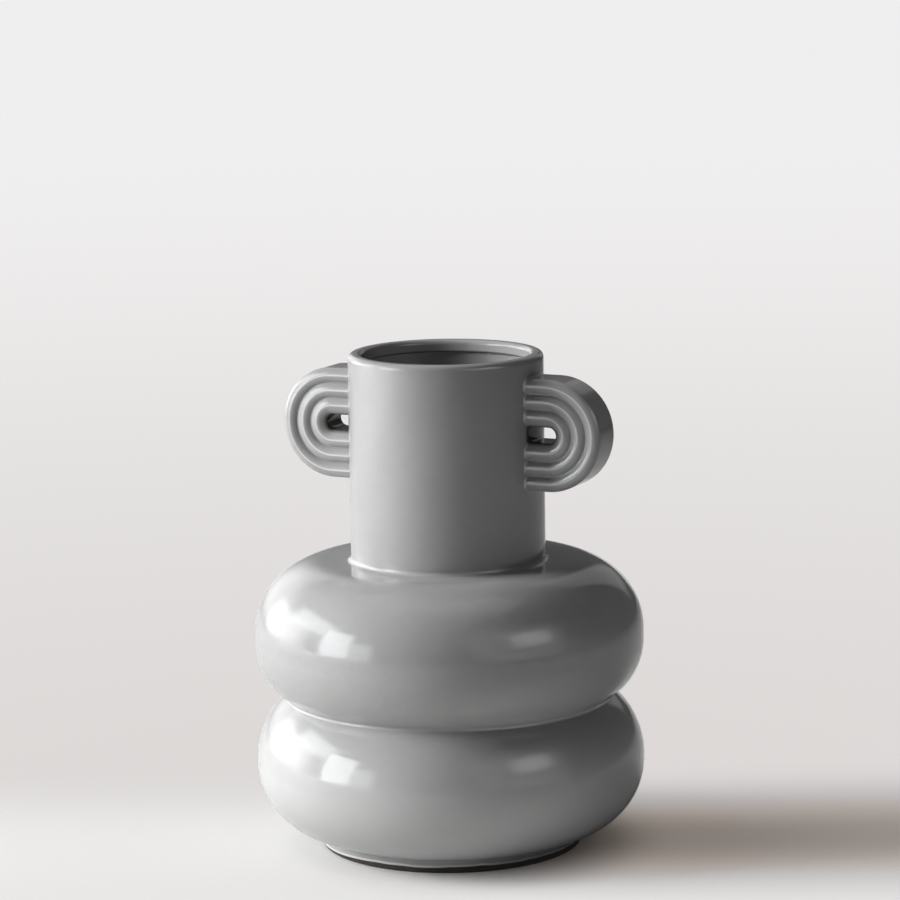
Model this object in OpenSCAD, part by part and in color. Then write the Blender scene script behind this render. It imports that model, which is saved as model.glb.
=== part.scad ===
// Sculptural vase: two squashed rings, a straight neck and two flat handles of nested coils.
// Millimetres, Z up. The origin is the middle of the foot on the table, and the handles lie along X.

/* [Foot and base] */
// How far the foot's outer edge lies inside the rings' largest radius
foot_inset = 32.5; // [28:0.5:36]
// Width of the foot ring
foot_w = 6.5; // [5:0.5:10]
// Height of the foot ring, from the table to the underside
foot_h = 7; // [5:0.5:10]
// Round of the foot's edges at the table
foot_edge_r = 1.2; // [0.5:0.1:2]
// Thickness of the disc that closes the vase
base_t = 6; // [5:0.5:9]

/* [Rings] */
// Thickness of the fired wall of both rings
wall_t = 6; // [4.5:0.5:7]
// Largest radius of both rings
body_r = 100; // [92:0.5:115]
// Depth of the crease between the rings, from their largest radius
crease_depth = 16.5; // [14:0.5:20]
// Wall left behind the crease
crease_wall = 9; // [7:0.5:12]
// Round of glaze that fills the crease
crease_fillet_r = 1.2; // [0.5:0.1:2.5]
// Round of the lower ring under its widest place
lower_under_r = 36.5; // [34:0.5:38]
// Height of the upright band at the lower ring's widest place
lower_band_h = 2; // [1:0.5:6]
// Round of the lower ring over its widest place
lower_over_r = 41; // [38:0.5:44]
// Round of the upper ring under its widest place
upper_under_r = 32; // [28:0.5:34]
// Height of the upright band at the upper ring's widest place
upper_band_h = 5.5; // [1:0.5:9]
// Round of the shoulder
shoulder_r = 36.5; // [32:0.5:38]

/* [Neck and lip] */
// Outer radius of the neck
neck_r = 50; // [46:0.5:54]
// Wall of the neck
neck_wall = 5; // [4:0.5:7]
// Height of the neck from the shoulder to the lip
neck_h = 100.5; // [88:0.5:120]
// Round of glaze where the neck meets the shoulder
neck_fillet_r = 2.5; // [1:0.5:4]
// Height of the lip
lip_h = 6.5; // [5.5:0.5:8]
// How far the lip stands into the mouth past the wall of the neck
lip_inset = 2; // [1:0.5:3]
// Round of the lip's outer edge
lip_outer_round = 3; // [2:0.25:3.25]
// Round of the lip's inner edge
lip_inner_round = 2.5; // [1.5:0.25:2.75]
// Round of the bead's lower inner edge
lip_under_round = 1; // [0.5:0.25:1.5]

/* [Handles] */
// Width of one coil, seen from the front
coil_w = 7.8; // [7:0.1:9]
// Thickness of a handle from front to back, over the crowns
handle_t = 22; // [18:0.5:26]
// Rise of a coil's rounded front over its side
crown_h = 2.4; // [1.5:0.1:3]
// Round of glaze in the grooves between the coils
groove_fillet_r = 0.7; // [0.3:0.1:1.2]
// Round of a handle's outer edge, front and back
coil_edge_r = 1.5; // [0.8:0.1:2]
// Height of the slot inside the innermost coil
slot_h = 8; // [6:0.2:11]
// Length of the straight part of the slot, from the neck to the bend
slot_straight = 10.5; // [8:0.5:18]
// How much further the innermost coil's flank reaches towards the slot than a coil's other flanks
slot_flank = 1.2; // [0.6:0.1:2]
// Slope at which that flank leaves the crown, in degrees from the handle's plane
slot_slope = 55; // [48:1:60]
// Round of that flank's edge in the slot, front and back
slot_edge_r = 2.5; // [2:0.1:3.2]
// Distance of a handle's top below the top of the lip
handle_drop = 10; // [7:0.5:14]

/* [Hidden] */
$fn = 96;

// Overrun of every cut, so that no two faces of a cut coincide
overrun = 1;

// Depth that a fillet or edge round is set into the round that it runs into
round_seat = 0.005;

// Radii that follow the rings' largest radius
foot_r = body_r - foot_inset;
crease_r = body_r - crease_depth;
base_r = body_r - lower_under_r;

// Centre heights of the rings' four rounds, and the heights that the pieces stack up to.
// The rounds over the lower ring and under the upper ring meet in the crease.
lower_under_z = foot_h + lower_under_r;
lower_over_z = lower_under_z + lower_band_h;
crease_z = lower_over_z + rise(lower_over_r, lower_over_r - crease_depth);
upper_under_z = crease_z + rise(upper_under_r, upper_under_r - crease_depth);
shoulder_round_z = upper_under_z + upper_band_h;
shoulder_z = shoulder_round_z + shoulder_r;
lip_z = shoulder_z + neck_h;
top_z = lip_z + lip_h;

// Centres of the two rounds that meet in the crease, and of the fillet that touches both
lower_over_centre = [body_r - lower_over_r, lower_over_z];
upper_under_centre = [body_r - upper_under_r, upper_under_z];
crease_span = norm(upper_under_centre - lower_over_centre);
crease_up = (upper_under_centre - lower_over_centre) / crease_span;
crease_out = [crease_up[1], -crease_up[0]];
lower_touch_r = lower_over_r + crease_fillet_r - round_seat;
upper_touch_r = upper_under_r + crease_fillet_r - round_seat;
crease_run = (pow(crease_span, 2) + pow(lower_touch_r, 2) - pow(upper_touch_r, 2)) / (2 * crease_span);
crease_fillet_centre = lower_over_centre + crease_run * crease_up
  + rise(lower_touch_r, crease_run) * crease_out;

// Handle measures worked out from its coils
coil_count = 3;
handle_h = 2 * (coil_count * coil_w + slot_flank) + slot_h;
handle_z = top_z - handle_drop - handle_h / 2;
bend_x = neck_r + slot_straight;

// Centres of a coil's rounds, across and in depth: its crown, the groove fillet, the rim's edge and the
// slot's edge. A straight flank touches both the crown and the slot's edge.
crown_r = (pow(coil_w / 2, 2) + pow(crown_h, 2)) / (2 * crown_h);
crown_y = handle_t / 2 - crown_r;
groove_y = crown_y + rise(crown_r + groove_fillet_r - round_seat, coil_w / 2);
edge_x = coil_w / 2 - coil_edge_r;
edge_y = crown_y + rise(crown_r - coil_edge_r + round_seat, edge_x);
edge_touch_x = edge_x * crown_r / (crown_r - coil_edge_r + round_seat);
slot_x = coil_w / 2 + slot_flank - slot_edge_r;
slot_y = crown_y + (crown_r - slot_edge_r - slot_x * cos(slot_slope)) / sin(slot_slope);
flank_out = [cos(slot_slope), sin(slot_slope)];
flank_start = [0, crown_y] + (crown_r - round_seat) * flank_out;
flank_end = [slot_x, slot_y] + (slot_edge_r - round_seat) * flank_out;

glaze_colour = [0.62, 0.63, 0.63];
clay_colour = [0.24, 0.21, 0.19];

// Height over its centre of a circle of radius r, at the distance x from that centre
function rise(r, x) = sqrt(r * r - x * x);

// Radius of the bend along the middle of a coil's crown: 0 is the innermost coil, which bends round the slot
function coil_middle_r(index) = slot_h / 2 + slot_flank + index * coil_w + coil_w / 2;

// Half section of a ring out to radius r: a round of radius under_r below its widest place,
// one of radius over_r above, and a short upright between them
module ring_outline(r, under_r, under_z, over_r, over_z) {
  band_h = over_z - under_z;
  translate([0, under_z])
    square([r, band_h]);
  translate([0, under_z - under_r])
    square([r - under_r, under_r + band_h]);
  intersection() {
    translate([r - under_r, under_z])
      circle(r = under_r);
    translate([0, under_z - under_r])
      square([r, under_r + band_h]);
  }
  translate([0, under_z])
    square([r - over_r, band_h + over_r]);
  intersection() {
    translate([r - over_r, over_z])
      circle(r = over_r);
    translate([0, under_z])
      square([r, band_h + over_r]);
  }
}

module lower_outline(inset) {
  ring_outline(body_r - inset, lower_under_r - inset, lower_under_z,
    lower_over_r - inset, lower_over_z);
}

module upper_outline(inset) {
  ring_outline(body_r - inset, upper_under_r - inset, upper_under_z,
    shoulder_r - inset, shoulder_round_z);
}

// Glaze that fills the crease: the space between the two rounds' centres and the fillet's, less the fillet
module crease_glaze() {
  difference() {
    polygon([lower_over_centre, crease_fillet_centre, upper_under_centre]);
    translate(crease_fillet_centre)
      circle(r = crease_fillet_r);
  }
}

module foot_ring() {
  color(clay_colour)
    rotate_extrude()
      difference() {
        union() {
          translate([foot_r - foot_w, foot_edge_r])
            square([foot_w, foot_h]);
          translate([foot_r - foot_w + foot_edge_r, 0])
            square([foot_w - 2 * foot_edge_r, foot_edge_r]);
          translate([foot_r - foot_w + foot_edge_r, foot_edge_r])
            circle(r = foot_edge_r);
          translate([foot_r - foot_edge_r, foot_edge_r])
            circle(r = foot_edge_r);
        }
        lower_outline(0);
      }
}

module base_disc() {
  color(glaze_colour)
    translate([0, 0, foot_h])
      cylinder(h = base_t, r = base_r);
}

module lower_ring() {
  color(glaze_colour)
    rotate_extrude()
      difference() {
        intersection() {
          union() {
            lower_outline(0);
            crease_glaze();
          }
          square([body_r + overrun, crease_z]);
        }
        lower_outline(wall_t);
        square([base_r, lower_under_z]);
        translate([0, lower_under_z])
          square([crease_r - crease_wall, crease_z]);
      }
}

module upper_ring() {
  color(glaze_colour)
    rotate_extrude()
      difference() {
        intersection() {
          union() {
            upper_outline(0);
            crease_glaze();
          }
          translate([0, crease_z])
            square([body_r + overrun, shoulder_z]);
        }
        upper_outline(wall_t);
        square([crease_r - crease_wall, upper_under_z]);
        translate([0, upper_under_z])
          square([neck_r - neck_wall, shoulder_z]);
      }
}

module neck_tube() {
  color(glaze_colour)
    rotate_extrude() {
      translate([neck_r - neck_wall, shoulder_z])
        square([neck_wall, neck_h]);
      difference() {
        translate([neck_r - overrun, shoulder_z])
          square([neck_fillet_r + overrun, neck_fillet_r]);
        translate([neck_r + neck_fillet_r, shoulder_z + neck_fillet_r])
          circle(r = neck_fillet_r);
      }
    }
}

module lip_band() {
  inner_r = neck_r - neck_wall - lip_inset;
  color(glaze_colour)
    rotate_extrude() {
      translate([inner_r + lip_under_round, lip_z])
        square([neck_r - inner_r - lip_under_round, lip_h - lip_outer_round]);
      translate([inner_r, lip_z + lip_under_round])
        square([neck_r - inner_r - lip_outer_round, lip_h - lip_under_round - lip_inner_round]);
      translate([inner_r + lip_inner_round, lip_z])
        square([neck_r - inner_r - lip_inner_round - lip_outer_round, lip_h]);
      translate([inner_r + lip_under_round, lip_z + lip_under_round])
        circle(r = lip_under_round);
      translate([inner_r + lip_inner_round, top_z - lip_inner_round])
        circle(r = lip_inner_round);
      translate([neck_r - lip_outer_round, top_z - lip_outer_round])
        circle(r = lip_outer_round);
    }
}

// Front of a coil's side, at +X from its middle, that seats on the next coil: it rises to the glaze in the
// groove between them
module seated_side() {
  difference() {
    polygon([[-overrun, -overrun], [coil_w / 2, -overrun], [coil_w / 2, groove_y],
      [0, crown_y], [-overrun, crown_y]]);
    translate([coil_w / 2, groove_y])
      circle(r = groove_fillet_r);
  }
}

// Front of the outermost coil's side at the handle's rim, with its rounded edge
module rim_side() {
  translate([-overrun, -overrun])
    square([coil_w / 2 + overrun, edge_y + overrun]);
  translate([edge_x, edge_y])
    circle(r = coil_edge_r);
}

// Front of the innermost coil's side at the slot: a straight flank from the crown to a wide round
module slot_side() {
  translate([-overrun, -overrun])
    square([coil_w / 2 + slot_flank + overrun, slot_y + overrun]);
  polygon([[0, crown_y], flank_start, flank_end, [slot_x, slot_y]]);
  translate([slot_x, slot_y])
    circle(r = slot_edge_r);
}

// Section of a coil, crowned at front and back
module coil_section(index) {
  at_slot = index == 0;
  at_rim = index == coil_count - 1;
  slot_reach = at_slot ? (flank_start[0] + flank_end[0]) / 2 : coil_w / 2;
  rim_reach = at_rim ? edge_touch_x : coil_w / 2;
  translate([coil_middle_r(index), 0])
    for (flip = [0, 1])
      mirror([0, flip, 0]) {
        intersection() {
          translate([0, crown_y])
            circle(r = crown_r);
          translate([-slot_reach, -overrun])
            square([slot_reach + rim_reach, handle_t]);
        }
        if (at_rim)
          rim_side();
        else
          seated_side();
        mirror([1, 0, 0])
          if (at_slot)
            slot_side();
          else
            seated_side();
      }
}

// A coil: half a turn round the end of the slot and two straight runs, seated on the round neck
module coil(index) {
  run = slot_straight + coil_w;
  color(glaze_colour)
    difference() {
      translate([bend_x, 0, handle_z])
        rotate([90, 0, 0]) {
          rotate([0, 0, -90])
            rotate_extrude(angle = 180)
              coil_section(index);
          for (flip = [0, 1])
            mirror([0, flip, 0])
              rotate([0, -90, 0])
                linear_extrude(height = run)
                  rotate([0, 0, 90])
                    coil_section(index);
        }
      translate([0, 0, shoulder_z])
        cylinder(h = neck_h + lip_h, r = neck_r);
    }
}

module right_inner_coil() {
  coil(0);
}

module right_middle_coil() {
  coil(1);
}

module right_outer_coil() {
  coil(2);
}

module left_inner_coil() {
  mirror([1, 0, 0])
    coil(0);
}

module left_middle_coil() {
  mirror([1, 0, 0])
    coil(1);
}

module left_outer_coil() {
  mirror([1, 0, 0])
    coil(2);
}

foot_ring();
base_disc();
lower_ring();
upper_ring();
neck_tube();
lip_band();
right_outer_coil();
right_middle_coil();
right_inner_coil();
left_outer_coil();
left_middle_coil();
left_inner_coil();
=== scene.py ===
"""Dresses the vase's CAD frame: glazed rings, neck, lip and coiled handles, a bare foot and a pale studio."""
import math
from collections import namedtuple

import bpy
import numpy as np
from mathutils import Matrix, Vector, noise


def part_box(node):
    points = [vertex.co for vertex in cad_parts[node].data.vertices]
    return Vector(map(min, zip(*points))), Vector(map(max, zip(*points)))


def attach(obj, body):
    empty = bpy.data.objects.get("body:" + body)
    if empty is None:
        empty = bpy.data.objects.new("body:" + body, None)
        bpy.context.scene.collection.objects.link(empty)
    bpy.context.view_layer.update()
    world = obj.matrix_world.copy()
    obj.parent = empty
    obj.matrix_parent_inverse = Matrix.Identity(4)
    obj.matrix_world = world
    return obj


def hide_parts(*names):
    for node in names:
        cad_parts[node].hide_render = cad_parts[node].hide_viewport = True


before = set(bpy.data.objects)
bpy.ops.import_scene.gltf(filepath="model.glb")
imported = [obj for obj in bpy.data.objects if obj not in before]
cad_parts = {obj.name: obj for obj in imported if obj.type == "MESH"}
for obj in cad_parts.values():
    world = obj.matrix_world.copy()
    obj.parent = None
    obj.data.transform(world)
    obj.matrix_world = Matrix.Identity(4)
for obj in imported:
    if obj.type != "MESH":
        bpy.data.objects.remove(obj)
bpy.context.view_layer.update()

bl_info = {
    "name": "Coiled handle vase",
    "version": (1, 0, 0),
    "blender": (4, 5, 0),
    "location": "3D View > Sidebar > Vase",
    "description": "Builds the glazed vase over its CAD frame, with a studio floor, light and camera",
    "category": "Object",
}

MM = 0.001
SAME_POINT = 1e-8
COILS = ("inner", "middle", "outer")
OUTER_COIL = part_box("right_outer_coil")
FOOT, BASE, LOWER_RING, UPPER_RING, LIP = (
    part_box(name) for name in ("foot_ring", "base_disc", "lower_ring", "upper_ring", "lip_band")
)

# Painted highlight: how much paler the glaze is painted on the crease, the neck's base and the foot's glaze
# roll. Below 1, painted shade: darker in the lip's undercut.
PAINTED_EDGE_LIGHT = {"crease_glaze": 1.3, "foot_edge_highlight_glaze": 2.6, "lip_undercut_shade_glaze": 0.2}

# The camera's lens and sensor in mm, its frame in pixels, the height on the vase's axis that it turns round,
# and how many pixels left of the frame's middle and under it that point shows.
LENS, SENSOR, FRAME = 152.0, 36.0, 900.0
TARGET, TARGET_LEFT, TARGET_UNDER = 128.7 * MM, 1.1, 145.4

# A lamp stands away metres from LAMP_AIM, turn degrees to the right of the camera's side and rise degrees up.
# soft is the part of its half width and height over which its edge fades. A lamp falls only on the glaze's
# shine ("glaze"), there in the panes' tone ("pane"), only on the colours ("colour"), or on both ("all"). The
# stage's settings hold each lamp's brightness.
Lamp = namedtuple("Lamp", "name turn rise width height soft falls_on away", defaults=(0.0, "glaze", 2.2))
LAMP_AIM = Vector((0.0, 0.0, 0.13))
LAMPS = (
    Lamp("clear_pane", -71, 11, 0.75, 1.25, 0.0, "pane"),
    Lamp("near_pane", -54, 7, 0.6, 0.85, 0.0, "pane"),
    Lamp("link", -98, 26, 1.7, 0.75, 0.6, "pane"),
    Lamp("curtain", -116, 9, 2.2, 1.3, 1.0),
    Lamp("wall", -145, 14, 2.4, 1.6, 1.0),
    Lamp("doorway", 157, 24, 0.85, 1.8, 0.4),
    Lamp("daylight", -88, 20, 1.3, 1.1, 0.2, "colour"),
    Lamp("skylight", -98, 50, 2.0, 1.6, 0.4, "colour"),
    Lamp("fill", 51, 25, 1.3, 1.0, 1.0),
    Lamp("fill_halo", 43, 18, 3.2, 2.9, 1.0),
    Lamp("overhead", 180, 80, 2.0, 2.0, 0.0, "all", 2.4),
)


def length(name, default, description):
    """A size in metres, shown in the sidebar."""
    return bpy.props.FloatProperty(
        name=name, description=description, default=default, precision=5, unit="LENGTH"
    )


def degrees(name, default, description):
    """An angle, given in degrees, shown in the sidebar."""
    return bpy.props.FloatProperty(
        name=name, description=description, default=math.radians(default), subtype="ANGLE"
    )


def share(name, default, description):
    """A number from 0 to 1, shown in the sidebar."""
    return bpy.props.FloatProperty(
        name=name, description=description, default=default, min=0.0, max=1.0, subtype="FACTOR"
    )


def strength(name, default, description):
    """A brightness, shown in the sidebar. At 1, a white surface lit by it from all sides renders white."""
    return bpy.props.FloatProperty(name=name, description=description, default=default, min=0.0)


def colour(name, default, description):
    """A colour, shown in the sidebar."""
    return bpy.props.FloatVectorProperty(
        name=name, description=description, default=default, size=3, min=0.0, max=1.0, subtype="COLOR"
    )


class VaseBody(bpy.types.PropertyGroup):
    """Sizes of the turned pieces: foot, rings, neck and lip."""

    body: length("Body radius", LOWER_RING[1].x, "Radius of both rings at their widest place")
    neck: length("Neck radius", LIP[1].x, "Outer radius of the neck")
    foot: length("Foot radius", FOOT[1].x, "Outer radius of the foot")
    underside: length("Underside", LOWER_RING[0].z, "Height of the vase's underside over the table")
    floor: length("Inner floor", BASE[1].z, "Height of the floor inside the vase")
    crease: length("Crease height", LOWER_RING[1].z, "Height of the crease between the rings")
    shoulder: length("Shoulder height", UPPER_RING[1].z, "Height of the shoulder")
    lip: length("Lip height", LIP[0].z, "Height at which the lip starts")
    top: length("Top", LIP[1].z, "Height of the vase")
    foot_width: length("Foot width", 6.5 * MM, "Width of the foot ring")
    foot_edge: length("Foot edge", 1.2 * MM, "Round of the bare foot at the table")
    foot_glaze: length("Foot glaze", 0.5 * MM, "How far the glaze stands out over the bare clay of the foot")
    foot_line: length("Foot glaze line", 3.3 * MM, "Height at which the glaze on the foot ends")
    foot_run: length("Foot glaze run", 1.6 * MM, "How much lower the glaze ran on one side of the foot")
    foot_turn: degrees("Foot glaze turn", -150, "Side of the foot where the glaze ran lower")
    lower_under: length("Lower ring, under", 36.5 * MM, "Round of the lower ring under its widest place")
    lower_over: length("Lower ring, over", 41.0 * MM, "Round of the lower ring over its widest place")
    lower_band: length("Lower ring, band", 2.0 * MM, "Upright band at the lower ring's widest place")
    upper_under: length("Upper ring, under", 32.0 * MM, "Round of the upper ring under its widest place")
    upper_band: length("Upper ring, band", 5.5 * MM, "Upright band at the upper ring's widest place")
    shoulder_round: length("Shoulder round", 36.5 * MM, "Round of the shoulder")
    crease_depth: length("Crease depth", 16.5 * MM, "Depth of the crease between the rings")
    crease_glaze: length("Crease glaze", 1.2 * MM, "Round of the glaze that fills the crease")
    crease_wall: length("Crease wall", 9.0 * MM, "Wall left behind the crease")
    wall: length("Wall", 6.0 * MM, "Fired wall of the rings")
    neck_wall: length("Neck wall", 5.0 * MM, "Wall of the neck")
    neck_glaze: length("Neck glaze", 2.5 * MM, "Round of the glaze where the neck meets the shoulder")
    lip_inset: length("Lip inset", 2.0 * MM, "How far the lip stands into the mouth")
    lip_outer: length("Lip, outer edge", 3.0 * MM, "Round of the lip's outer edge")
    lip_inner: length("Lip, inner edge", 2.5 * MM, "Round of the lip's inner edge")
    lip_under: length("Lip, under", 1.0 * MM, "Round of the bead's lower inner edge")


class VaseHandles(bpy.types.PropertyGroup):
    """Sizes of the coils that make the handles."""

    coil_width: length("Coil width", 7.8 * MM, "Width of one coil, seen from the front")
    thickness: length("Thickness", OUTER_COIL[1].y - OUTER_COIL[0].y, "Thickness of a handle, front to back")
    crown: length("Crown", 2.4 * MM, "Rise of a coil's rounded front over its side")
    groove_glaze: length("Groove glaze", 0.7 * MM, "Round of the glaze in the grooves between the coils")
    edge: length("Edge", 1.5 * MM, "Round of a handle's outer and inner edges")
    slot: length("Slot height", 8.0 * MM, "Height of the slot inside the innermost coil")
    flank: length("Slot flank", 1.2 * MM, "How much further the innermost coil reaches towards the slot")
    slope: degrees("Slot slope", 55, "Slope of that flank")
    slot_edge: length("Slot edge", 2.5 * MM, "Round of that flank's edge in the slot")
    straight: length("Straight", 10.5 * MM, "Straight part of a coil, from the neck to its bend")
    drop: length("Drop", 10.0 * MM, "Handle's top below the top of the lip")
    seat_glaze: length("Seat glaze", 1.0 * MM, "Round of the glaze where the coils meet the neck")
    seat_depth: length("Seat depth", 0.15 * MM, "How far a coil's end sits in the neck")


class VaseFinish(bpy.types.PropertyGroup):
    """Colours and surfaces of the glaze and the bare clay."""

    glaze: colour("Glaze", (0.372, 0.373, 0.372), "Colour of the glaze")
    glaze_gloss: share("Glaze roughness", 0.10, "Roughness of the glaze")
    # Partly the glaze thinning on the handles' crests and partly a painted highlight there; also the strength
    # of the painted light and shade along edges.
    glaze_break_and_highlight: share("Crests", 0.5, "How much paler the glaze is where it thins on crests and edges")
    # Painted shade: the glaze is darkened in the handles' grooves.
    painted_groove_shade: share("Grooves", 0.55, "How much darker the glaze is where it pools in the handles' grooves")
    # Painted light and shade by height: the glaze is painted paler on the lower ring and darker up towards
    # the neck.
    painted_height_shading: share("Settling", 0.29, "How much paler the glaze is where it ran down, and darker above")
    # Painted shade: near-black colour inside the handles' slots.
    painted_slot_shade: colour("Stain", (0.035, 0.027, 0.023), "Colour of the thin glaze inside the handles' slots")
    # Near black: partly the bare clay's own colour, partly painted shade under the foot.
    clay: colour("Clay", (0.032, 0.025, 0.021), "Colour of the bare fired clay at the foot")
    clay_rough: share("Clay roughness", 0.82, "Roughness of the bare clay")


class VaseStage(bpy.types.PropertyGroup):
    """The floor, the light and the camera."""

    floor: colour("Floor", (0.745, 0.742, 0.737), "Colour of the floor")
    haze: colour("Near distance", (0.715, 0.69, 0.68), "Colour of the floor a little behind the vase")
    front: colour("Near floor", (0.82, 0.80, 0.79), "Colour of the floor in front of the vase")
    bounce: colour("Bounce", (0.92, 0.76, 0.65), "Colour of the floor in the vase's shadow")
    shadow_line: length("Shadow line", -4 * MM, "How far behind the vase's middle its shadow lies")
    distance: colour("Distance", (0.87, 0.86, 0.86), "Colour that the floor fades to, far from the vase")
    room: strength("Room light", 0.05, "Even light of the room")
    mirrored: strength("Room in the glaze", 0.13, "How bright the room shows in the glaze")
    pane: colour("Panes", (0.94, 0.98, 1.0), "Tone of the window's panes")
    clear_pane: strength("Clear pane", 7.5, "Clear pane of the window to the left, only in the glaze's shine")
    near_pane: strength("Near pane", 3.0, "Duller pane nearer the camera, only in the glaze's shine")
    link: strength("Upper pane", 4.5, "High pane next to the curtain, only in the glaze's shine")
    curtain: strength("Curtain", 4.5, "Curtained window further round to the left, only in the glaze's shine")
    wall: strength("Wall", 1.6, "Pale wall to the back left, only in the glaze's shine")
    doorway: strength("Doorway", 0.35, "Pale upright band to the back right, only in the glaze's shine")
    daylight: strength("Daylight", 21.0, "Light of the windows on the colours, without a shine")
    skylight: strength("Skylight", 2.4, "Softer light from high on the left on the colours, without a shine")
    fill: strength("Fill", 2.0, "Small light to the front right, only in the glaze's shine")
    fill_halo: strength("Halo of the fill", 0.9, "Wide soft light round the fill, only in the glaze's shine")
    overhead: strength("Overhead", 0.5, "Soft light from above and behind")
    camera_far: length("Camera distance", 1.956, "From the camera to the middle of the vase")
    camera_turn: degrees("Camera turn", 25.8, "Turn of the camera round the vase")
    camera_rise: degrees("Camera rise", 11.9, "Angle that the camera looks down at")
    camera_roll: degrees("Camera roll", 0.8, "Lean of the camera")


class Run:
    """Part of a section: its points, the way the surface faces there, and the way it swells at a seat."""

    def __init__(self, points, facing, swell=None, material=0):
        self.points, self.facing = np.array(points, float), np.array(facing, float)
        self.swell = self.facing if swell is None else np.array(swell, float)
        self.material = material

    def of(self, material):
        """The same part in another of the piece's materials."""
        return Run(self.points, self.facing, self.swell, material)

    def back_side(self):
        """The same part on a handle's back."""
        flip = np.array((1.0, -1.0))
        return Run(self.points[::-1] * flip, self.facing[::-1] * flip, self.swell[::-1] * flip)


def line(start, end, steps=1):
    """A straight part of a section, with the solid on its left."""
    start, end = np.array(start, float), np.array(end, float)
    along = (end - start) / np.linalg.norm(end - start)
    points = [start + (end - start) * i / steps for i in range(steps + 1)]
    return Run(points, [(along[1], -along[0])] * (steps + 1))


def arc(centre, radius, start, end, steps):
    """A round part of a section, in degrees: bulging where it turns left, hollow where it turns right."""
    side = 1 if end > start else -1
    turns = [math.radians(start + (end - start) * i / steps) for i in range(steps + 1)]
    out = np.array([(math.cos(t), math.sin(t)) for t in turns])
    return Run(np.array(centre) + radius * out, side * out)


def angle_of(centre, point):
    """Direction of a point from a centre, in degrees."""
    return math.degrees(math.atan2(point[1] - centre[1], point[0] - centre[0]))


def skin(name, strips, ring, ends=()):
    """A mesh from strips, each with a row of points and directions at every station, and a material's number.

    Points that strips share become one point. ends are the two directions that a piece's flat ends face.
    """
    every = np.concatenate([points.reshape(-1, 3) for points, _, _ in strips])
    _, first, number = np.unique(
        np.round(every / SAME_POINT).astype(np.int64), axis=0, return_index=True, return_inverse=True
    )
    number, faces, facing, kinds, start = number.reshape(-1), [], [], [], 0
    loops = ([], [])
    for points, directions, material in strips:
        rows, columns = points.shape[:2]
        mine = number[start : start + rows * columns].reshape(rows, columns)
        start += rows * columns
        for j in range(rows if ring else rows - 1):
            k = (j + 1) % rows
            for i in range(columns - 1):
                corners = ((j, i), (k, i), (k, i + 1), (j, i + 1))
                face = {int(mine[c]): directions[c] for c in corners}
                if len(face) > 2:
                    faces.append(list(face))
                    facing.extend(face.values())
                    kinds.append(material)
        loops[0].extend(mine[0, :-1])
        loops[1].extend(mine[-1, :-1])
    for loop, direction, order in zip(loops, ends, (1, -1)):
        faces.append([int(v) for v in loop[::order]])
        facing.extend([direction] * len(loop))
        kinds.append(0)
    mesh = bpy.data.meshes.new(name)
    mesh.from_pydata(every[first].tolist(), [], faces)
    mesh.polygons.foreach_set("use_smooth", [True] * len(faces))
    mesh.polygons.foreach_set("material_index", kinds)
    mesh.normals_split_custom_set([tuple(float(c) for c in d) for d in facing])
    mesh.update()
    piece = bpy.data.objects.new(name, mesh)
    bpy.context.collection.objects.link(piece)
    return piece


def turned(name, section, segments=160):
    """A piece turned round the vase's axis, from a list of runs or a function that gives them at an angle."""
    angles = [2 * math.pi * j / segments for j in range(segments)]
    sections = [section(angle) if callable(section) else section for angle in angles]
    strips = []
    for r, run in enumerate(sections[0]):
        spun = []
        for angle, runs in zip(angles, sections):
            c, s = math.cos(angle), math.sin(angle)
            flat = (runs[r].points, runs[r].facing)
            spun.append([np.stack([p[:, 0] * c, p[:, 0] * s, p[:, 1]], 1) for p in flat])
        strips.append((np.array([p for p, _ in spun]), np.array([d for _, d in spun]), run.material))
    return skin(name, strips, True)


def dressed(piece, slot, node, *materials):
    """Gives a finished piece its materials, and stands it on the frame in place of its CAD node."""
    for material in materials:
        piece.data.materials.append(material)
    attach(piece, "root")
    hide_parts(node)


class Wire:
    """A number in a finish's nodes. Arithmetic on it adds Math nodes."""

    def __init__(self, finish, socket):
        self.finish, self.socket = finish, socket

    def __add__(self, other):
        return self.finish.compute("ADD", self, other)

    def __sub__(self, other):
        return self.finish.compute("SUBTRACT", self, other)

    def __rsub__(self, other):
        return self.finish.compute("SUBTRACT", other, self)

    def __mul__(self, other):
        return self.finish.compute("MULTIPLY", self, other)


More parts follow.
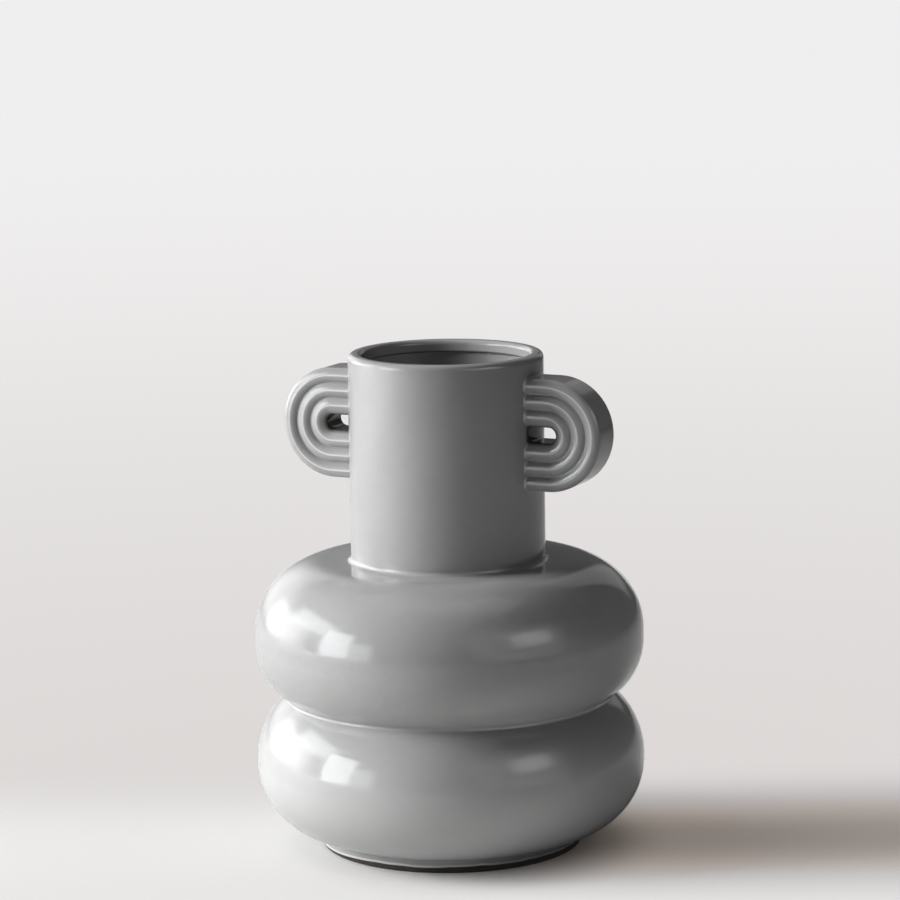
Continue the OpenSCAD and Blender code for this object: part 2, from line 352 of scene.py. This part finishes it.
class Finish:
    """The nodes of a material or of the room."""

    def __init__(self, owner):
        self.owner = owner
        owner.use_nodes = True
        owner.node_tree.nodes.clear()

    def add(self, kind, settings=None, sockets=None, out=0):
        """Adds a node, with its settings and the values or links of its sockets. Gives one of its outputs."""
        node = self.owner.node_tree.nodes.new(kind)
        for name, value in (settings or {}).items():
            setattr(node, name, value)
        for name, value in (sockets or {}).items():
            if isinstance(value, Wire):
                self.owner.node_tree.links.new(value.socket, node.inputs[name])
            else:
                node.inputs[name].default_value = value
        return Wire(self, node.outputs[out]) if node.outputs else None

    def compute(self, operation, *values):
        """A Math node's result on some numbers."""
        return self.add("ShaderNodeMath", {"operation": operation}, dict(enumerate(values)))

    def place(self):
        """Where a point is on the vase, in metres."""
        return self.add("ShaderNodeTexCoord", out="Object")

    def cloud(self, scale, detail=2.0, rough=0.5):
        """Soft random blotches, from 0 to 1."""
        return self.add(
            "ShaderNodeTexNoise", None,
            {"Vector": self.place(), "Scale": scale, "Detail": detail, "Roughness": rough},
        )

    def ease(self, value, low, high, bottom=0.0, top=1.0):
        """Goes smoothly from bottom to top while a value goes from low to high."""
        return self.add(
            "ShaderNodeMapRange", {"interpolation_type": "SMOOTHSTEP"},
            {"Value": value, "From Min": low, "From Max": high, "To Min": bottom, "To Max": top},
        )

    def blend(self, factor, one, other):
        """A colour between two colours."""
        return self.add("ShaderNodeMix", {"data_type": "RGBA"}, {0: factor, 6: one, 7: other}, 2)

    def swell(self, height, depth, strength=1.0, on=None):
        """Raises the surface by a height from 0 to 1, times a depth in metres."""
        sockets = {"Strength": strength, "Distance": depth, "Height": height}
        if on:
            sockets["Normal"] = on
        return self.add("ShaderNodeBump", None, sockets)

    def rays(self):
        """1 for what the camera sees straight, in a reflection or through glass, and 0 for other light."""
        kinds = ("Camera", "Glossy", "Transmission")
        return [self.add("ShaderNodeLightPath", out=f"Is {kind} Ray") for kind in kinds]

    def done(self, shader, output="ShaderNodeOutputMaterial"):
        """Ends the nodes in a shader."""
        self.add(output, None, {"Surface": shader})
        return self.owner


def tint(rgb, factor=1.0):
    """A colour made lighter or darker, with its alpha."""
    return tuple(min(1.0, c * factor) for c in rgb) + (1.0,)


def slot_height():
    """Height of the middle of the handles' slots over the table."""
    s, h = bpy.context.scene.vase_body, bpy.context.scene.vase_handles
    return s.top - h.drop - h.slot / 2 - h.flank - len(COILS) * h.coil_width


def grey_glaze(name="grey_glaze"):
    """Glossy grey glaze, clouded and faintly waved, paler where it thins on crests, with painted highlights
    and shade.
    """
    if name in bpy.data.materials:
        return bpy.data.materials[name]
    look, s, h = (getattr(bpy.context.scene, group) for group in ("vase_finish", "vase_body", "vase_handles"))
    f = Finish(bpy.data.materials.new(name))
    clouding = f.cloud(16.0, 3.0)
    shade = f.blend(f.ease(clouding, 0.3, 0.7), tint(look.glaze, 0.95), tint(look.glaze, 1.05))
    shade = f.blend(f.ease(f.cloud(240.0), 0.25, 0.75) * 0.25, shade, tint(look.glaze, 0.9))
    side, deep, rise = (f.add("ShaderNodeSeparateXYZ", None, {0: f.place()}, axis) for axis in "XYZ")
    # Painted light and shade by height: darker from the crease up to the lip, and paler on the lower ring,
    # most round its middle, as if lit from the floor.
    shade = f.blend(f.ease(rise, s.crease, s.lip) * look.painted_height_shading, shade, tint(look.glaze, 0.5))
    painted_bounce_light = f.ease(rise, s.crease, s.crease / 2) * f.ease(rise, s.underside, s.crease / 2, 0.3, 1.0)
    shade = f.blend(painted_bounce_light * look.painted_height_shading, shade, tint(look.glaze, 2.0))
    # Painted light along edges: paler on the crease, the neck's base and the foot, and darker in the lip's
    # undercut.
    if name in PAINTED_EDGE_LIGHT:
        shade = f.blend(look.glaze_break_and_highlight, shade, tint(look.glaze, PAINTED_EDGE_LIGHT[name]))
    # How far a point is from a handle's slot, and how far forward or back on the handle.
    side, deep, rise = f.compute("ABSOLUTE", side), f.compute("ABSOLUTE", deep), rise - slot_height()
    past = f.compute("MAXIMUM", side - (s.neck + h.straight), 0.0)
    across = f.compute("SQRT", past * past + rise * rise)
    front, rim = h.thickness / 2, h.slot / 2 + h.flank + len(COILS) * h.coil_width
    if name == "handle_glaze":
        # Painted shade in the grooves between the coils.
        groove = f.ease(deep, front - h.crown / 2, front - h.crown)
        groove = groove * f.ease(across, rim - h.edge / 2, rim - h.edge)
        shade = f.blend(groove * look.painted_groove_shade, shade, tint(look.glaze, 0.4))
        # On each coil's crest the glaze is paler where it thins, with a painted highlight there too.
        crest = f.ease(deep, front - 0.035 * MM, front - 0.005 * MM)
        shade = f.blend(crest * look.glaze_break_and_highlight, shade, tint(look.glaze, 2.0))
    # Painted shade inside the slot, near black, which reaches further out round its bend.
    inward = across - past * 0.35
    painted_slot_shade = f.ease(inward, h.slot / 2 + 2.4 * MM, h.slot / 2 - 0.8 * MM)
    painted_slot_shade = painted_slot_shade * f.ease(deep, front, front - 1.5 * h.crown)
    painted_slot_shade = painted_slot_shade * f.ease(side, s.neck - 4 * MM, s.neck - 2 * MM)
    shade = f.blend(painted_slot_shade, shade, tint(look.painted_slot_shade))
    waves = f.swell(f.cloud(26.0, 1.0), 0.35 * MM)
    peel = f.swell(f.cloud(420.0, 1.0), 0.02 * MM, 0.35, waves)
    gloss = f.ease(clouding, 0.2, 0.8, look.glaze_gloss - 0.02, look.glaze_gloss + 0.03)
    return f.done(f.add(
        "ShaderNodeBsdfPrincipled", None,
        {"Base Color": shade, "Roughness": gloss, "IOR": 1.52, "Normal": peel},
    ))


def bare_clay():
    """Unglazed stoneware with a fine grain, near black: partly the clay's colour, partly painted shade under
    the foot.
    """
    look = bpy.context.scene.vase_finish
    f = Finish(bpy.data.materials.new("bare_clay"))
    grain = f.cloud(1500.0, 3.0, 0.6)
    shade = f.blend(f.ease(f.cloud(60.0), 0.3, 0.7), tint(look.clay, 0.75), tint(look.clay, 1.5))
    shade = f.blend(f.ease(grain, 0.55, 0.8) * 0.5, shade, tint(look.clay, 3.0))
    return f.done(f.add(
        "ShaderNodeBsdfPrincipled", None,
        {"Base Color": shade, "Roughness": look.clay_rough, "Normal": f.swell(grain, 0.1 * MM, 0.6)},
    ))


def behind(f, way, right=0.0):
    """How far a way leads behind the vase as the camera sees it, or to an angle right of there."""
    turn = bpy.context.scene.vase_stage.camera_turn - right
    sockets = {0: way, 1: (-math.sin(turn), math.cos(turn), 0.0)}
    return f.add("ShaderNodeVectorMath", {"operation": "DOT_PRODUCT"}, sockets, "Value")


def far_side(f, way):
    """1 for a way within 10 degrees of right behind the vase, and 0 from 22 degrees on."""
    way = f.add("ShaderNodeVectorMath", {"operation": "NORMALIZE"}, {0: way}, "Vector")
    return f.ease(behind(f, way), 0.93, 0.985)


def studio_floor():
    """Pale matte floor that keeps the vase's shadow and runs out into the pale distance.

    To the camera it glows in part, in the studio's own tones, and most where the vase casts no shadow.
    """
    look = bpy.context.scene.vase_stage
    f = Finish(bpy.data.materials.new("studio_floor"))
    shade = f.blend(f.cloud(40.0) * 0.08, tint(look.floor), tint(look.floor, 0.94))
    matte = f.add("ShaderNodeBsdfDiffuse", None, {"Color": shade})
    reach = f.add("ShaderNodeVectorMath", {"operation": "LENGTH"}, {0: f.place()}, "Value")
    deep = behind(f, f.place())
    aside = f.compute("ABSOLUTE", deep - look.shadow_line)
    haze = f.blend(f.ease(f.compute("SQRT", reach), 0.35, 2.0), tint(look.haze), tint(look.distance))
    haze = f.blend(f.ease(deep, 100 * MM, -60 * MM), haze, tint(look.front))
    right = f.ease(behind(f, f.place(), math.pi / 2), -50 * MM, 100 * MM)
    haze = f.blend(f.ease(aside, 90 * MM, 20 * MM) * right, haze, tint(look.bounce))
    glow = f.add("ShaderNodeEmission", None, {"Color": haze})
    camera, glossy, clear = f.rays()
    seen = f.add("ShaderNodeClamp", None, {0: camera + clear + glossy * far_side(f, f.place())})
    glowing = f.ease(aside, 5 * MM, 160 * MM, 0.18, 1.0) * f.ease(reach, 50 * MM, 120 * MM)
    return f.done(f.add("ShaderNodeMixShader", None, {0: glowing * seen, 1: matte, 2: glow}))


def pale_room():
    """Makes the room: an even light, a little brighter in the glaze, and a pale distance for the camera."""
    look = bpy.context.scene.vase_stage
    room = bpy.context.scene.world or bpy.data.worlds.new("room")
    bpy.context.scene.world = room
    f = Finish(room)
    camera, glossy, clear = f.rays()
    even = f.add("ShaderNodeBackground", None, {"Strength": glossy * (look.mirrored - look.room) + look.room})
    pale = f.add("ShaderNodeBackground", None, {"Color": tint(look.distance)})
    seen = f.add("ShaderNodeMixShader", None, {0: camera + clear, 1: even, 2: pale})
    f.done(seen, "ShaderNodeOutputWorld")


def hang(lamp):
    """Hangs one of the lamps, facing the vase."""
    look = bpy.context.scene.vase_stage
    light = bpy.data.lights.new(lamp.name, "AREA")
    light.shape, light.size, light.size_y = "RECTANGLE", lamp.width, lamp.height
    light.energy = math.pi * lamp.width * lamp.height * getattr(look, lamp.name)
    if lamp.falls_on == "pane":
        light.color = look.pane
    if lamp.soft:
        f = Finish(light)
        place = f.add("ShaderNodeNewGeometry", out="Parametric")
        across = [f.add("ShaderNodeSeparateXYZ", None, {0: place}, axis) for axis in ("X", "Y")]
        full = lamp.soft / 2 * (1 - lamp.soft / 2)
        fade = [f.ease(side * (1 - side), 0.0, full) for side in across]
        f.done(f.add("ShaderNodeEmission", None, {"Strength": fade[0] * fade[1]}), "ShaderNodeOutputLight")
    hung = bpy.data.objects.new(lamp.name, light)
    turn, rise = look.camera_turn - math.pi / 2 + math.radians(lamp.turn), math.radians(lamp.rise)
    way = Vector((math.cos(turn) * math.cos(rise), math.sin(turn) * math.cos(rise), math.sin(rise)))
    hung.location = LAMP_AIM + lamp.away * way
    hung.rotation_euler = way.to_track_quat("Z", "Y").to_euler()
    hung.visible_camera = False
    hung.visible_glossy = lamp.falls_on != "colour"
    hung.visible_diffuse = lamp.falls_on in ("all", "colour")
    bpy.context.collection.objects.link(hung)


def vase_camera():
    """Makes the scene's camera, which sees the vase low in its frame."""
    look = bpy.context.scene.vase_stage
    lens = bpy.data.cameras.new("camera")
    lens.sensor_width, lens.lens = SENSOR, LENS
    camera = bpy.data.objects.new("camera", lens)
    level = math.cos(look.camera_rise)
    back = Vector((
        math.sin(look.camera_turn) * level, -math.cos(look.camera_turn) * level, math.sin(look.camera_rise)
    ))
    pixels = FRAME * LENS / SENSOR
    under, left = math.atan(TARGET_UNDER / pixels), math.atan(TARGET_LEFT / pixels)
    shift = Matrix.Rotation(under, 3, "X") @ Matrix.Rotation(-left, 3, "Y")
    aim = back.to_track_quat("Z", "Y").to_matrix() @ Matrix.Rotation(-look.camera_roll, 3, "Z") @ shift
    place = Matrix.Translation(Vector((0.0, 0.0, TARGET)) + look.camera_far * back)
    camera.matrix_world = place @ aim.to_4x4()
    bpy.context.collection.objects.link(camera)
    bpy.context.scene.camera = camera


def body_lines():
    """The body's sizes, the centres of its rounds, and the centre of the round glaze in the crease."""
    s = bpy.context.scene.vase_body
    c1 = np.array((s.body - s.lower_under, s.underside + s.lower_under))
    c2 = np.array((s.body - s.lower_over, c1[1] + s.lower_band))
    c4 = np.array((s.body - s.shoulder_round, s.shoulder - s.shoulder_round))
    c3 = np.array((s.body - s.upper_under, c4[1] - s.upper_band))
    span = np.linalg.norm(c3 - c2)
    up = (c3 - c2) / span
    near, far = s.lower_over + s.crease_glaze, s.upper_under + s.crease_glaze
    run = (span**2 + near**2 - far**2) / (2 * span)
    crease = c2 + run * up + math.sqrt(near**2 - run**2) * np.array((up[1], -up[0]))
    return s, c1, c2, c3, c4, crease


class VASE_OT_foot(bpy.types.Operator):
    """Makes the foot ring, glazed above and bare at the table"""

    bl_idname = "vase.foot"
    bl_label = "Foot"

    def execute(self, context):
        s, c1, *_ = body_lines()
        inner, bare, edge, bead = s.foot - s.foot_width, s.foot - s.foot_glaze, s.foot_edge, s.foot_glaze
        rolled = 2.5 * bead
        turn = -math.degrees(math.acos((s.foot - c1[0]) / s.lower_under))
        meet = c1[1] + s.lower_under * math.sin(math.radians(turn))

        def section(turned_by):
            around = Vector((math.cos(turned_by), math.sin(turned_by), 0.0))
            ripple = noise.noise(around * 2.2) + 0.4 * noise.noise(around * 9.0)
            low = max(0.0, math.cos(turned_by - s.foot_turn)) ** 2
            wander = (0.55 - 0.3 * low) * MM
            glaze = s.foot_line - s.foot_run * low + wander * ripple
            return [
                arc((bare - edge, edge), edge, -90, 0, 6).of(1),
                line((bare, edge), (bare, glaze)).of(1),
                # Painted highlight: the glaze's roll on the foot is made paler.
                arc((bare, glaze + bead), bead, -90, 0, 6).of(2),
                line((s.foot, glaze + bead), (s.foot, glaze + rolled)).of(2),
                line((s.foot, glaze + rolled), (s.foot, meet)),
                arc(c1, s.lower_under, turn, -90, 3),
                line(c1 - (0.0, s.lower_under), (inner, s.underside)),
                line((inner, s.underside), (inner, edge), 2).of(1),
                arc((inner + edge, edge), edge, 180, 270, 6).of(1),
                line((inner + edge, 0.0), (bare - edge, 0.0)).of(1),
            ]

        foot = turned("foot", section, 240)
        dressed(foot, "bare_clay", "foot_ring", grey_glaze(), bare_clay(), grey_glaze("foot_edge_highlight_glaze"))
        return {"FINISHED"}


class VASE_OT_base(bpy.types.Operator):
    """Makes the disc that closes the vase"""

    bl_idname = "vase.base"
    bl_label = "Base"

    def execute(self, context):
        s, c1, *_ = body_lines()
        low, high, r = s.underside, s.floor, c1[0]
        section = [line((0.0, low), (r, low), 6), line((r, low), (r, high)), line((r, high), (0.0, high), 6)]
        dressed(turned("base", section, 96), "glaze", "base_disc", grey_glaze())
        return {"FINISHED"}


class VASE_OT_rings(bpy.types.Operator):
    """Makes the two squashed rings, hollow inside, with glaze in the crease between them"""

    bl_idname = "vase.rings"
    bl_label = "Rings"

    def execute(self, context):
        s, c1, c2, c3, c4, crease = body_lines()
        back = s.body - s.crease_depth - s.crease_wall
        middle = math.degrees(math.asin((s.crease - crease[1]) / s.crease_glaze))
        glaze_x = crease[0] - s.crease_glaze * math.cos(math.radians(middle))
        low_in, high_in = s.lower_over - s.wall, s.upper_under - s.wall
        low_turn = math.degrees(math.acos((back - c2[0]) / low_in))
        high_turn = -math.degrees(math.acos((back - c3[0]) / high_in))
        lower = [
            arc(c1, s.lower_under, -90, 0, 32),
            line((s.body, c1[1]), (s.body, c2[1]), 2),
            arc(c2, s.lower_over, 0, angle_of(c2, crease), 20),
            # Painted highlight: the glaze filling the crease is made paler.
            arc(crease, s.crease_glaze, angle_of(c2, crease) + 180, 180 - middle, 6).of(1),
            line((glaze_x, s.crease), (back, s.crease)),
            line((back, s.crease), (back, c2[1] + low_in * math.sin(math.radians(low_turn)))),
            arc(c2, low_in, low_turn, 0, 12),
            line((s.body - s.wall, c2[1]), (s.body - s.wall, c1[1])),
            arc(c1, s.lower_under - s.wall, 0, -90, 18),
            line((c1[0], s.floor), (c1[0], s.underside)),
        ]
        ring = turned("lower_ring_glazed", lower)
        dressed(ring, "glaze", "lower_ring", grey_glaze(), grey_glaze("crease_glaze"))
        hole = s.neck - s.neck_wall
        upper = [
            line((back, s.crease), (glaze_x, s.crease)),
            arc(crease, s.crease_glaze, 180 - middle, angle_of(c3, crease) + 180, 6),
            arc(c3, s.upper_under, angle_of(c3, crease), 0, 24),
            line((s.body, c3[1]), (s.body, c4[1]), 2),
            arc(c4, s.shoulder_round, 0, 90, 32),
            line((c4[0], s.shoulder), (hole, s.shoulder), 4),
            line((hole, s.shoulder), (hole, s.shoulder - s.wall)),
            line((hole, s.shoulder - s.wall), (c4[0], s.shoulder - s.wall)),
            arc(c4, s.shoulder_round - s.wall, 90, 0, 18),
            line((s.body - s.wall, c4[1]), (s.body - s.wall, c3[1])),
            arc(c3, high_in, 0, high_turn, 12),
            line((back, c3[1] + high_in * math.sin(math.radians(high_turn))), (back, s.crease)),
        ]
        dressed(turned("upper_ring_glazed", upper), "glaze", "upper_ring", grey_glaze())
        return {"FINISHED"}


class VASE_OT_neck(bpy.types.Operator):
    """Makes the neck with the glaze at its base, and the rounded lip"""

    bl_idname = "vase.neck"
    bl_label = "Neck and lip"

    def execute(self, context):
        s = context.scene.vase_body
        hole, g = s.neck - s.neck_wall, s.neck_glaze
        neck = [
            arc((s.neck + g, s.shoulder + g), g, 270, 225, 5),
            # Painted highlight: the upper part of the glaze round the neck's base is made paler.
            arc((s.neck + g, s.shoulder + g), g, 225, 180, 5).of(1),
            line((s.neck, s.shoulder + g), (s.neck, s.lip), 12),
            line((s.neck, s.lip), (hole, s.lip)),
            line((hole, s.lip), (hole, s.shoulder), 12),
            line((hole, s.shoulder), (s.neck + g, s.shoulder)),
        ]
        dressed(turned("neck_glazed", neck), "glaze", "neck_tube", grey_glaze(), grey_glaze("crease_glaze"))
        mouth, a, b, c = hole - s.lip_inset, s.lip_outer, s.lip_inner, s.lip_under
        lip = [
            line((s.neck, s.lip), (s.neck, s.top - a)),
            arc((s.neck - a, s.top - a), a, 0, 90, 12),
            line((s.neck - a, s.top), (mouth + b, s.top)),
            arc((mouth + b, s.top - b), b, 90, 180, 12),
            line((mouth, s.top - b), (mouth, s.lip + c)),
            # Painted shade: the round under the bead, in the lip's undercut, is made dark.
            arc((mouth + c, s.lip + c), c, 180, 270, 6).of(1),
            line((mouth + c, s.lip), (s.neck, s.lip)),
        ]
        dressed(turned("lip_glazed", lip), "glaze", "lip_band", grey_glaze(), grey_glaze("lip_undercut_shade_glaze"))
        return {"FINISHED"}


def coil_section(h, index):
    """Section of one coil: across, from the middle of the slot outwards, and towards the front."""
    half, e, g = h.coil_width / 2, h.edge, h.groove_glaze
    middle = h.slot / 2 + h.flank + index * h.coil_width + half
    crown = (half**2 + h.crown**2) / (2 * h.crown)
    at = h.thickness / 2 - crown
    groove = at + math.sqrt((crown + g) ** 2 - half**2)
    seam = math.degrees(math.atan2(groove - at, half))
    if index == len(COILS) - 1:
        edge = at + math.sqrt((crown - e) ** 2 - (half - e) ** 2)
        start = math.degrees(math.atan2(edge - at, half - e))
        rim, front = (middle + half, edge), [arc((middle + half - e, edge), e, 0, start, 6)]
    else:
        start, rim = seam, (middle + half, groove - g)
        front = [arc((middle + half, groove), g, 270, 180 + seam, 6)]
    if index == 0:
        reach, end = half + h.flank - h.slot_edge, 180 - math.degrees(h.slope)
        low = at + (crown - h.slot_edge - reach * math.cos(h.slope)) / math.sin(h.slope)
        slot = (middle - half - h.flank, low)
        round_edge = arc((middle - reach, low), h.slot_edge, end, 180, 8)
        front += [arc((middle, at), crown, start, end, 20)]
        front += [line(front[-1].points[-1], round_edge.points[0], 2), round_edge]
    else:
        slot = (middle - half, groove - g)
        front += [arc((middle, at), crown, start, 180 - seam, 20)]
        front += [arc((middle - half, groove), g, 360 - seam, 270, 6)]
    sides = []
    for (across, deep), seated, way in ((rim, index < len(COILS) - 1, 1), (slot, index > 0, -1)):
        flat = line((across, -deep * way), (across, deep * way), 2)
        if seated:
            flat.swell = flat.points * (0.0, 1.0) / deep
        sides.append(flat)
    return [sides[0]] + front + [sides[1]] + [run.back_side() for run in reversed(front)]


class VASE_OT_handles(bpy.types.Operator):
    """Makes the coils of both handles, with glaze in the grooves between them and where they meet the neck"""

    bl_idname = "vase.handles"
    bl_label = "Handles"

    def execute(self, context):
        s, h = context.scene.vase_body, context.scene.vase_handles
        bend, f = s.neck + h.straight, h.seat_glaze
        middle = slot_height()
        fillet = [math.radians(10 * i) for i in range(10)]
        # Steps along a coil's straight part: how far out of the neck, how much it swells, how far it leans.
        run = [(-h.seat_depth, f, 1.0)]
        run += [(f - f * math.cos(a), f - f * math.sin(a), math.cos(a)) for a in fillet]
        run += [(d, 0.0, 0.0) for d in (2 * f, 4 * f, 7 * f)]

        def on_run(part, up, away, lift, lean):
            across = part.points[:, 0] + part.swell[:, 0] * lift
            y = part.points[:, 1] + part.swell[:, 1] * lift
            neck_x = np.sqrt(s.neck**2 - y**2)
            keep = math.sqrt(1 - lean**2)
            facing = np.stack([
                lean * neck_x / s.neck,
                -part.facing[:, 1] * keep - lean * y / s.neck,
                up * part.facing[:, 0] * keep,
            ], 1)
            facing = facing / np.linalg.norm(facing, axis=1, keepdims=True)
            return np.stack([neck_x + away, -y, middle + up * across], 1), facing

        def on_bend(part, angle):
            c, t = math.cos(angle), math.sin(angle)
            spun = [np.stack([p[:, 0] * c, -p[:, 1], p[:, 0] * t], 1) for p in (part.points, part.facing)]
            return spun[0] + (bend, 0.0, middle), spun[1]

        def strip(part, side):
            rows = [on_run(part, -1, *step) for step in run]
            rows += [on_bend(part, math.radians(-90 + 4 * i)) for i in range(46)]
            rows += [on_run(part, 1, *step) for step in reversed(run)]
            points, facing = (np.array(values) * (side, 1, 1) for values in zip(*rows))
            return (points[::side], facing[::side], 0)

        for side, where in ((1, "right"), (-1, "left")):
            for index, coil in enumerate(COILS):
                strips = [strip(part, side) for part in coil_section(h, index)]
                inwards = [(-side, 0.0, 0.0)] * 2
                piece = skin(f"{where}_{coil}_coil_glazed", strips, False, inwards)
                dressed(piece, "glaze", f"{where}_{coil}_coil", grey_glaze("handle_glaze"))
        return {"FINISHED"}


class VASE_OT_stage(bpy.types.Operator):
    """Makes the floor, the lights, the pale distance and the camera"""

    bl_idname = "vase.stage"
    bl_label = "Floor, light and camera"

    def execute(self, context):
        reach = [0.0] + [20 * MM * 1.22**i for i in range(36)]
        flat = Run([(r, 0.0) for r in reversed(reach)], [(0.0, 1.0)] * len(reach))
        floor = turned("studio_floor", [flat], 96)
        floor.data.materials.append(studio_floor())
        for lamp in LAMPS:
            hang(lamp)
        pale_room()
        vase_camera()
        context.scene.view_settings.view_transform = "Standard"
        return {"FINISHED"}


class VASE_PT_panel(bpy.types.Panel):
    """The vase's pieces and sizes"""

    bl_idname = "VASE_PT_panel"
    bl_label = "Vase"
    bl_space_type = "VIEW_3D"
    bl_region_type = "UI"
    bl_category = "Vase"

    def draw(self, context):
        for maker in MAKERS:
            self.layout.operator(maker.bl_idname)
        for name, group in GROUPS.items():
            box = self.layout.box()
            for key in group.__annotations__:
                box.prop(getattr(context.scene, name), key)


GROUPS = {
    "vase_body": VaseBody, "vase_handles": VaseHandles, "vase_finish": VaseFinish, "vase_stage": VaseStage
}
MAKERS = (VASE_OT_foot, VASE_OT_base, VASE_OT_rings, VASE_OT_neck, VASE_OT_handles, VASE_OT_stage)


def register():
    """Adds the vase's sizes, makers and panel to Blender."""
    for kind in (*GROUPS.values(), *MAKERS, VASE_PT_panel):
        bpy.utils.register_class(kind)
    for name, group in GROUPS.items():
        setattr(bpy.types.Scene, name, bpy.props.PointerProperty(type=group))


def unregister():
    """Takes them out again."""
    for name in GROUPS:
        delattr(bpy.types.Scene, name)
    for kind in (VASE_PT_panel, *MAKERS[::-1], *GROUPS.values()):
        bpy.utils.unregister_class(kind)


def main():
    """Builds the vase and its stage."""
    register()
    bpy.ops.vase.foot()
    bpy.ops.vase.base()
    bpy.ops.vase.rings()
    bpy.ops.vase.neck()
    bpy.ops.vase.handles()
    bpy.ops.vase.stage()


if __name__ == "__main__":
    main()
